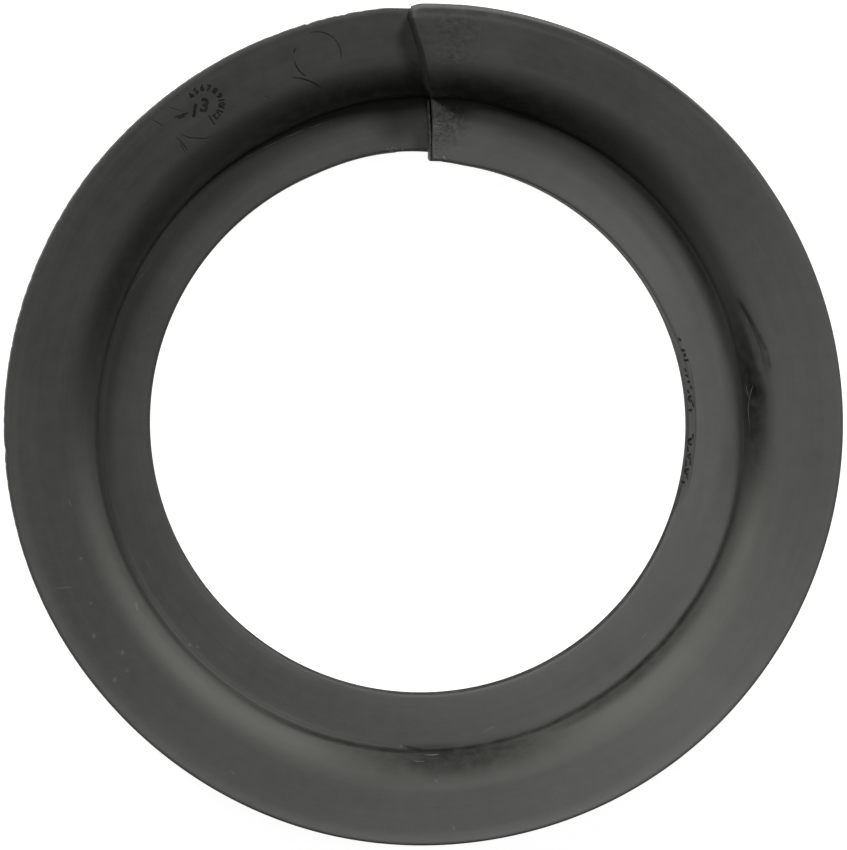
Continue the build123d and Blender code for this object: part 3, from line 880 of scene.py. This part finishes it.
def surfaceFinder(mesh):
    # height of the ring's seen side over a place in plan, both in mm
    corners = [v.co for v in mesh.vertices]
    faces = [p.vertices for p in mesh.polygons]
    finder = BVHTree.FromPolygons(corners, faces)

    def heightAt(x, y):
        hit = finder.ray_cast(Vector((x * mm, y * mm, 0.05)), Vector((0, 0, -1)))[0]
        return hit.z / mm if hit else 0.0

    return heightAt


def keepPiece(piece):
    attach(piece, "root")
    print(piece.name, "built,", len(piece.data.polygons), "faces")


rubber = blackRubber()
body = buildRing(rubber)
sculptRing(body.data)
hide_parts("insulator_ring")
keepPiece(body)
heightAt = surfaceFinder(body.data)
markRubber = smallRubber("markRubber", (0.004, 0.004, 0.0035), (0.012, 0.012, 0.011), 0.75, 0.2)
tickRubber = smallRubber("tickRubber", (0.009, 0.009, 0.008), (0.028, 0.028, 0.026), 0.75, 0.2)
flashRubber = smallRubber("flashRubber", (0.03, 0.031, 0.022), (0.055, 0.057, 0.043), 0.62, 0.4)
# pale rubber: real pale flecks at the bore's edge, and the creases' painted highlight
paleRubber = smallRubber("paleRubber", (0.055, 0.055, 0.05), (0.14, 0.141, 0.13), 0.6, 0.4)


# The mould's dial on the flange, left of the step: plain numbers round a plain figure and two strokes

dial = {
    "middle": (-36.5, 53.9), "proud": 0.1, "sunk": 0.3,
    "numbers": [  # turn and number
        (-60, "4"), (-36, "5"), (-12, "6"), (12, "7"), (36, "8"),
        (60, "9"), (84, "10"), (109, "11"), (134, "12"),
    ],
    "numberRing": 2.65, "numberSize": 1.4,
    "figures": [("1", -1.8, -1.2, 3.0), ("3", -0.15, -0.35, 3.1)], "figureTurn": 8,  # figure, place and size
    "strokes": [((-5.0, -2.2), (-3.0, -1.5)), ((-4.4, -2.35), (-3.5, -2.05)), ((0.6, -2.0), (1.5, -3.4))],
    "strokeWidth": 0.2,
}


def textOutline(words, size, thickness):
    # text made a mesh before it is placed; its corners in mm, lower side at z 0
    letters = bpy.data.curves.new("letters", "FONT")
    letters.body = words
    letters.size = size
    letters.extrude = thickness / 2
    letters.offset = 0.028 * size
    letters.resolution_u = 3
    letters.align_x = "CENTER"
    letters.align_y = "CENTER"
    carrier = addObject("letters", letters)
    made = bpy.data.meshes.new_from_object(carrier.evaluated_get(bpy.context.evaluated_depsgraph_get()))
    bpy.data.objects.remove(carrier)
    shape = bmesh.new()
    shape.from_mesh(made)
    bmesh.ops.remove_doubles(shape, verts=shape.verts, dist=0.0005)
    return shape


def strokeOutline(start, end, width, thickness):
    # a round-ended bar drawn flat and given its thickness
    start, end = Vector(start), Vector(end)
    ahead = (end - start).normalized()
    half = width / 2
    turn = math.atan2(ahead.y, ahead.x)
    shape = bmesh.new()
    outline = []
    for middle, first in ((end, -90), (start, 90)):
        for step in range(7):
            angle = turn + math.radians(first + step * 30)
            outline.append((middle.x + half * math.cos(angle), middle.y + half * math.sin(angle)))
    low = [shape.verts.new((x, y, -thickness / 2)) for x, y in outline]
    high = [shape.verts.new((x, y, thickness / 2)) for x, y in outline]
    shape.faces.new(low[::-1])
    shape.faces.new(high)
    for i in range(len(outline)):
        j = (i + 1) % len(outline)
        shape.faces.new((low[i], low[j], high[j], high[i]))
    return shape


def buildDial():
    d = dial
    thickness = 1.0  # while flat; the corners get their real heights when they are laid down
    joined = bmesh.new()
    x0, y0 = d["middle"]

    def add(shape, offset, turn):
        # turns and places a shape, then lays it on the flange
        spin = Matrix.Rotation(-math.radians(turn), 3, "Z")
        for vertex in shape.verts:
            high = vertex.co.z > 0
            flat = spin @ Vector((vertex.co.x, vertex.co.y, 0))
            x, y = x0 + offset[0] + flat.x, y0 + offset[1] + flat.y
            vertex.co = Vector((x, y, heightAt(x, y) + (d["proud"] if high else -d["sunk"]))) * mm
        part = bpy.data.meshes.new("part")
        bmesh.ops.recalc_face_normals(shape, faces=shape.faces)
        shape.to_mesh(part)
        joined.from_mesh(part)
        shape.free()

    for angle, number in d["numbers"]:
        turn = math.radians(angle)
        spot = (d["numberRing"] * math.sin(turn), d["numberRing"] * math.cos(turn))
        add(textOutline(number, d["numberSize"], thickness), spot, angle)
    for figure, x, y, size in d["figures"]:
        add(textOutline(figure, size, thickness), (x, y), d["figureTurn"])
    for start, end in d["strokes"]:
        add(strokeOutline(start, end, d["strokeWidth"], thickness), (0, 0), 0)
    mesh = bpy.data.meshes.new("dial_marks")
    joined.to_mesh(mesh)
    mesh.materials.append(markRubber)
    return addObject("dial_marks", mesh)


keepPiece(buildDial())


# Thin raised lines that the mould left: flow lines by the dial, and the edge of a pin

flow = {
    "radius": 0.13, "sunk": 0.04, "spacing": 0.35, "taper": 0.9, "sides": 6,
    "paths": [  # places in plan, and a share of the radius
        ([(-41.9, 48.9), (-40.4, 47.5), (-39.2, 45.8)], 0.7),
        ([(-41.3, 49.1), (-39.2, 48.3), (-36.8, 48.1), (-34.5, 48.6)], 0.85),
        ([(-40.9, 47.8), (-39.7, 45.5)], 0.6),
        ([(-45.7, 51.5), (-43.1, 50.0)], 0.6),
        ([(-43.1, 53.6), (-39.9, 52.5)], 0.55),
        ([(-27.0, 55.3), (-25.2, 54.6)], 0.5),
        ([(-22.3, 58.3), (-20.5, 58.1), (-18.9, 57.6), (-17.6, 56.9), (-16.9, 56.2)], 1.15),
    ],
    "creaseRadius": 0.16, "creaseSunk": 0.05,
    # the creases are pale as painted highlight: the light caught along the lips of the folds
    "creases": [  # pale folds beside the pinch and where it meets the dish's crease
        ([(52.7, 20.1), (53.6, 18.3), (54.5, 16.4), (55.3, 14.5), (56.0, 12.6), (56.5, 11.2),
          (56.8, 10.0)], 0.45),
        ([(54.0, 7.0), (54.3, 5.7), (54.6, 4.2)], 0.6),
        ([(0.3, -55.2), (1.6, -55.25), (3.0, -55.15)], 0.85),
        ([(-1.9, -55.8), (-0.9, -56.1), (0.5, -56.0)], 0.48),
        ([(55.2, 7.0), (54.9, 5.6), (54.65, 4.2), (54.5, 2.6), (54.6, 1.0), (54.8, -0.5)], 0.72),
        ([(-10.5, 51.9), (-16.5, 50.3), (-22.4, 48.1), (-28.6, 45.0), (-34.4, 41.5)], 0.5),
        ([(-44.2, 27.8), (-47.0, 24.6), (-49.4, 21.1)], 0.5),
    ],
    "pinMiddle": (-17.8, 61.9), "pinRadius": 3.95,
    "pinArcs": [(-32, 112, 0.75), (203, 262, 1.0), (272, 292, 1.2)],  # from, to, share of the radius
}


def flowTree(material):
    # round lines along the paths, thinner towards their ends
    tree, given, result = geometryTree("raisedLines", [
        ("Radius", "Float", 0.0001), ("Taper", "Float", 0.9), ("Sides", "Int", 6),
    ])
    lines = addNode(tree, "GeometryNodeMeshToCurve", {0: given["Geometry"]})
    along = addNode(tree, "GeometryNodeSplineParameter").outputs["Factor"]
    fromMiddle = sums(tree, "ABSOLUTE", timesPlus(tree, along, 2.0, -1.0))
    thin = minus(tree, 1.0, times(tree, sums(tree, "POWER", fromMiddle, 3.0), given["Taper"]))
    size = times(tree, times(tree, thin, given["Radius"]), storedValue(tree, "thickness", "FLOAT"))
    profile = addNode(tree, "GeometryNodeCurvePrimitiveCircle", {"Resolution": given["Sides"], "Radius": 1.0})
    sweep = addNode(tree, "GeometryNodeCurveToMesh", {
        "Curve": lines.outputs[0], "Profile Curve": profile.outputs["Curve"],
        "Scale": size, "Fill Caps": True,
    })
    finishTree(tree, result, sweep.outputs[0], material)
    return tree


def buildLines(name, paths, radius, sunk, material):
    f = flow
    places, edges, thickness = [], [], []
    for points, share in paths:
        points = np.array(points)
        run = np.concatenate([[0], np.cumsum(np.hypot(*np.diff(points, axis=0).T))])
        count = max(3, int(run[-1] / f["spacing"]))
        stops = np.linspace(0, run[-1], count)
        xs, ys = np.interp(stops, run, points[:, 0]), np.interp(stops, run, points[:, 1])
        first = len(places)
        places += [(x * mm, y * mm, (heightAt(x, y) - sunk) * mm) for x, y in zip(xs, ys)]
        edges += [(first + i, first + i + 1) for i in range(count - 1)]
        thickness += [share] * count
    mesh = bpy.data.meshes.new(name + "_paths")
    mesh.from_pydata(places, edges, [])
    layer = mesh.attributes.new("thickness", "FLOAT", "POINT")
    layer.data.foreach_set("value", thickness)
    settings = {"Radius": radius * mm, "Taper": f["taper"], "Sides": f["sides"]}
    return runTree(name, mesh, flowTree(material), settings)


def pinArcs():
    x0, y0 = flow["pinMiddle"]
    r = flow["pinRadius"]
    for first, last, share in flow["pinArcs"]:
        turns = np.radians(np.linspace(first, last, 12))
        yield [(x0 + r * math.sin(a), y0 + r * math.cos(a)) for a in turns], share


keepPiece(buildLines("flow_lines", flow["paths"] + list(pinArcs()), flow["radius"], flow["sunk"], markRubber))
# pale creases: painted highlight along the folds' lips
keepPiece(buildLines("pinch_creases", flow["creases"], flow["creaseRadius"], flow["creaseSunk"], paleRubber))


# Worn marks in the recess of the bore's edge, kept to plain ticks

ticks = {
    "length": 1.05, "width": 0.38, "height": 0.28, "out": 45.35, "slope": 20.0,
    "places": [  # bearing, shift outward, turn, share of the length
        (71.8, 0.1, 70, 0.6), (74.2, 0.1, 20, 0.7), (75.3, 0.25, -70, 0.6), (76.4, 0.2, 10, 0.8),
        (78.6, -0.1, 75, 0.7), (79.9, 0.0, 40, 0.9), (81.0, 0.15, -20, 0.8), (82.3, 0.3, 85, 0.7),
        (83.2, -0.2, 75, 0.7), (85.9, 0.35, 85, 0.8), (87.1, 0.05, 0, 1.2), (92.6, 0.3, 75, 0.7),
        (95.6, -0.3, 80, 0.9), (98.2, 0.3, 80, 0.9), (98.6, -0.3, 85, 0.8), (101.4, 0.25, 70, 0.8),
        (102.6, -0.1, 10, 1.0),
    ],
    "roundness": 2,
    "ringRadius": 0.42, "ringThickness": 0.16, "ringRise": 0.08, "ringCorners": 16, "ringSides": 8,
    # bearing, shift outward, size
    "rings": [(84.7, 0.05, 1.0), (93.8, 0.0, 1.15), (96.9, 0.1, 0.9), (100.2, 0.05, 1.0)],
}


def pointRow(distance, bearing, turn, size, rise=0.0):
    # a place on the ring's surface, with a turn (Euler angles) and a size
    spot = placeAt(distance, bearing)
    return (spot.x, spot.y, heightAt(spot.x, spot.y) + rise), turn, size


def pointMesh(name, rows):
    # points for instances to stand on
    mesh = bpy.data.meshes.new(name)
    mesh.from_pydata([tuple(c * mm for c in place) for place, turn, size in rows], [], [])
    for layerName, index in (("turned", 1), ("sized", 2)):
        layer = mesh.attributes.new(layerName, "FLOAT_VECTOR", "POINT")
        layer.data.foreach_set("vector", np.array([row[index] for row in rows], np.float32).ravel())
    return mesh


def copyOnPoints(tree, points, shape, size=None):
    # a copy of the shape on every point, turned and sized by the point's own values
    rotation = addNode(tree, "FunctionNodeEulerToRotation", {0: storedValue(tree, "turned")})
    sized = storedValue(tree, "sized")
    copies = addNode(tree, "GeometryNodeInstanceOnPoints", {
        "Points": points, "Instance": shape, "Rotation": rotation.outputs[0],
        "Scale": sized if size is None else scaled(tree, sized, size),
    })
    return copies.outputs[0]


def barTree(material):
    # a small rounded bar on every point
    tree, given, result = geometryTree("boreTicks", [
        ("Length", "Float", 0.001), ("Width", "Float", 0.001), ("Height", "Float", 0.001),
        ("Roundness", "Int", 2),
    ])
    block = addNode(tree, "GeometryNodeMeshCube", {
        "Size": combine(tree, given["Width"], given["Length"], given["Height"]),
        "Vertices X": 3, "Vertices Y": 3, "Vertices Z": 3,
    })
    rounded = addNode(tree, "GeometryNodeSubdivisionSurface", {
        "Mesh": block.outputs["Mesh"], "Level": given["Roundness"],
    })
    smooth = addNode(tree, "GeometryNodeSetShadeSmooth", {"Geometry": rounded.outputs[0]})
    finishTree(tree, result, copyOnPoints(tree, given["Geometry"], smooth.outputs[0]), material)
    return tree


def buildTicks():
    k = ticks
    rows = []
    for bearing, shift, turn, share in k["places"]:
        turned = (math.radians(k["slope"]), 0, math.radians(-bearing - turn))
        rows.append(pointRow(k["out"] + shift, bearing, turned, (1, share, 1)))
    settings = {
        "Length": k["length"] * mm, "Width": k["width"] * mm, "Height": k["height"] * mm,
        "Roundness": k["roundness"],
    }
    return runTree("bore_ticks", pointMesh("tick_points", rows), barTree(tickRubber), settings)


def ringMarkTree(material):
    # a small raised ring on every point
    tree, given, result = geometryTree("boreRings", [
        ("Radius", "Float", 0.0003), ("Thickness", "Float", 0.0001),
        ("Corners", "Int", 16), ("Sides", "Int", 8),
    ])
    path = addNode(tree, "GeometryNodeCurvePrimitiveCircle", {
        "Resolution": given["Corners"], "Radius": given["Radius"],
    })
    profile = addNode(tree, "GeometryNodeCurvePrimitiveCircle", {
        "Resolution": given["Sides"], "Radius": given["Thickness"],
    })
    sweep = addNode(tree, "GeometryNodeCurveToMesh", {
        "Curve": path.outputs["Curve"], "Profile Curve": profile.outputs["Curve"],
    })
    finishTree(tree, result, copyOnPoints(tree, given["Geometry"], sweep.outputs[0]), material)
    return tree


def buildRings():
    k = ticks
    rows = []
    for bearing, shift, size in k["rings"]:
        turned = (math.radians(k["slope"]), 0, math.radians(-bearing))
        rows.append(pointRow(k["out"] + shift, bearing, turned, (size, size, size), k["ringRise"]))
    settings = {
        "Radius": k["ringRadius"] * mm, "Thickness": k["ringThickness"] * mm,
        "Corners": k["ringCorners"], "Sides": k["ringSides"],
    }
    return runTree("bore_rings", pointMesh("ring_points", rows), ringMarkTree(tickRubber), settings)


keepPiece(buildTicks())
keepPiece(buildRings())


# Crumbs and scuffs of rubber beside the step, where the ring was handled

crumbs = {
    "seed": 7, "unevenness": 0.25,
    "scuffs": 120, "scuffFrom": (2.6, 46.2), "scuffTo": (8.0, 55.4),  # bearing and distance
    "scuffSize": (0.18, 0.5), "scuffHeight": 0.16,
    "flecks": [  # bearing, distance, size, height share
        (354.0, 46.2, 0.9, 0.4), (353.1, 46.25, 0.6, 0.4), (354.9, 46.15, 0.7, 0.4), (356.2, 46.1, 0.4, 0.4),
        (2.6, 44.85, 0.6, 0.5), (3.2, 44.75, 0.4, 0.5), (4.6, 44.75, 0.75, 0.4), (5.5, 44.7, 0.45, 0.4),
        (6.55, 53.2, 0.42, 0.5), (5.6, 52.2, 0.38, 0.5), (4.4, 53.9, 0.3, 0.5),
        (97.3, 45.4, 0.55, 0.4), (101.4, 45.35, 0.45, 0.4), (103.2, 45.3, 0.4, 0.4),
    ],
}


def crumbTree(material):
    # an uneven rounded lump on every point
    tree, given, result = geometryTree("crumbs", [
        ("Size", "Float", 0.001), ("Unevenness", "Float", 0.3), ("Seed", "Int", 1),
    ])
    lump = addNode(tree, "GeometryNodeMeshIcoSphere", {"Radius": 0.5, "Subdivisions": 2})
    amount = addNode(tree, "FunctionNodeRandomValue", data_type="FLOAT")
    named = {s.identifier: s for s in amount.inputs}
    feed(tree, named["Min_001"], minus(tree, 1.0, given["Unevenness"]))
    feed(tree, named["Max_001"], plus(tree, 1.0, given["Unevenness"]))
    feed(tree, named["Seed"], given["Seed"])
    where = addNode(tree, "GeometryNodeInputPosition").outputs[0]
    uneven = addNode(tree, "GeometryNodeSetPosition", {
        "Geometry": lump.outputs["Mesh"],
        "Position": scaled(tree, where, [s for s in amount.outputs if s.enabled][0]),
    })
    copies = copyOnPoints(tree, given["Geometry"], uneven.outputs[0], given["Size"])
    finishTree(tree, result, copies, material)
    return tree


def buildCrumbs():
    c = crumbs
    chance = np.random.default_rng(c["seed"])
    (b0, r0), (b1, r1) = c["scuffFrom"], c["scuffTo"]
    scuffs = []
    for _ in range(c["scuffs"]):
        bearing = b0 + (b1 - b0) * chance.random() ** 1.4  # more of them close to the step
        distance = r0 + (r1 - r0) * chance.random()
        wide, long = chance.uniform(*c["scuffSize"], 2)
        turned = (0, 0, chance.uniform(0, math.tau))
        high = c["scuffHeight"] * chance.uniform(0.5, 1)
        scuffs.append(pointRow(distance, bearing, turned, (wide, long, high)))
    flecks = []
    for bearing, distance, size, high in c["flecks"]:
        turned = (0.2, 0.1, chance.uniform(0, math.tau))
        flecks.append(pointRow(distance, bearing, turned, (size, size * 0.6, size * high)))
    settings = {"Size": mm, "Unevenness": c["unevenness"], "Seed": c["seed"]}
    keepPiece(runTree("step_scuffs", pointMesh("scuff_points", scuffs), crumbTree(rubber), settings))
    keepPiece(runTree("edge_flecks", pointMesh("fleck_points", flecks), crumbTree(paleRubber), settings))


buildCrumbs()


# A thin fin of flash that stands on the ledge beside the step

fin = {
    "from": (44.1, 2.1), "to": (54.4, 1.3), "gap": 0.24, "thick": 0.26, "top": 7.5, "foot": 2.4,
    "edge": 0.1, "ragged": 0.1, "count": 60,
}


def buildFin():
    f = fin
    share = np.linspace(0, 1, f["count"])
    distance = f["from"][0] + (f["to"][0] - f["from"][0]) * share
    bearing = np.radians(f["from"][1] + (f["to"][1] - f["from"][1]) * share)
    ragged = f["ragged"] * (np.sin(share * 19 + 1) * 0.6 + np.sin(share * 47) * 0.4)
    fade = np.clip(np.minimum(share / 0.04, (1 - share) / 0.12), 0.15, 1)
    thick = f["thick"] * (1 + 0.25 * ragged / f["ragged"]) * fade
    top = f["top"] + ragged - (1 - fade) * 0.5
    x = distance * np.sin(bearing) - f["gap"]  # towards the low side of the step
    y = distance * np.cos(bearing)
    # the fin's section: place across its thickness, and how far below the top; the foot is level
    rows = [(-0.5, None), (-0.5, f["edge"]), (-0.25, 0), (0.25, 0), (0.5, f["edge"]), (0.5, None)]
    points, faces = [], []
    for i in range(f["count"]):
        for side, below in rows:
            level = f["foot"] if below is None else top[i] - below
            points.append(((x[i] + side * thick[i]) * mm, y[i] * mm, level * mm))
    n = len(rows)
    for i in range(f["count"] - 1):
        for j in range(n):
            a, b = i * n + j, i * n + (j + 1) % n
            faces.append((a, b, b + n, a + n))
    faces.append(tuple(range(n)))
    faces.append(tuple((f["count"] - 1) * n + j for j in range(n))[::-1])
    mesh = bpy.data.meshes.new("step_flash")
    mesh.from_pydata(points, [], faces)
    shape = bmesh.new()
    shape.from_mesh(mesh)
    bmesh.ops.recalc_face_normals(shape, faces=shape.faces)
    shape.to_mesh(mesh)
    shape.free()
    mesh.materials.append(flashRubber)
    return addObject("step_flash", mesh)


keepPiece(buildFin())


# Floor, lights and camera

backdrop = {"half": 1.5, "below": 0.1, "grey": 0.5, "roughness": 0.9, "brightness": 0.95, "skyLight": 0.02}

# soft lamps, most of them beyond the step and to its left: name, place in metres, size, power
lamps = [
    ("leftLamp", (-0.6, 0.66, 0.8), 0.32, 8.0),
    ("rightLamp", (0.47, 0.75, 0.82), 0.32, 9.5),
    ("overhead", (0.0, 0.0, 1.2), 0.5, 1.0),
]

view = {
    "distance": 3.0, "tilt": 5.0, "towards": 304.0, "lens": 762.8, "clipEnd": 20.0,
    "aim": (-0.14, 0.28, 11.4),
}


def buildFloor():
    s = backdrop
    half, low = s["half"], -s["below"] * mm
    mesh = bpy.data.meshes.new("floor")
    corners = [(-half, -half, low), (half, -half, low), (half, half, low), (-half, half, low)]
    mesh.from_pydata(corners, [], [(0, 1, 2, 3)])
    material = bpy.data.materials.new("paleFloor")
    material.use_nodes = True
    tree = material.node_tree
    inputs = tree.nodes["Principled BSDF"].inputs
    inputs["Base Color"].default_value = (s["grey"], s["grey"], s["grey"], 1)
    inputs["Roughness"].default_value = s["roughness"]
    inputs["Emission Color"].default_value = (1, 1, 1, 1)
    # glows only where the camera or a shine sees it, so that it lights nothing
    paths = addNode(tree, "ShaderNodeLightPath").outputs
    seen = sums(tree, "MAXIMUM", paths["Is Camera Ray"], paths["Is Glossy Ray"])
    seen = sums(tree, "MAXIMUM", seen, paths["Is Transmission Ray"])
    feed(tree, inputs["Emission Strength"], times(tree, seen, s["brightness"]))
    mesh.materials.append(material)
    addObject("floor", mesh)


def addLamp(name, place, size, power):
    data = bpy.data.lights.new(name, "AREA")
    data.shape = "DISK"
    data.size = size
    data.energy = power
    lamp = addObject(name, data)
    lamp.location = place
    lamp.rotation_euler = (-Vector(place)).to_track_quat("-Z", "Y").to_euler()


def buildCamera():
    data = bpy.data.cameras.new("camera")
    data.lens = view["lens"]
    data.clip_end = view["clipEnd"]
    camera = addObject("camera", data)
    tilt = math.radians(view["tilt"])
    back = placeAt(math.sin(tilt), view["towards"], math.cos(tilt))
    camera.location = Vector(view["aim"]) * mm + back * view["distance"]
    # the picture's upward edge follows +Y
    side = Vector((0, 1, 0)).cross(back).normalized()
    camera.rotation_euler = Matrix((side, back.cross(side), back)).transposed().to_euler()
    scene.camera = camera


def buildSky():
    world = bpy.data.worlds.new("studio")
    scene.world = world
    world.use_nodes = True
    inputs = world.node_tree.nodes["Background"].inputs
    inputs["Color"].default_value = (1, 1, 1, 1)
    inputs["Strength"].default_value = backdrop["skyLight"]


buildFloor()
for name, place, size, power in lamps:
    addLamp(name, place, size, power)
buildCamera()
buildSky()
print("stage set")
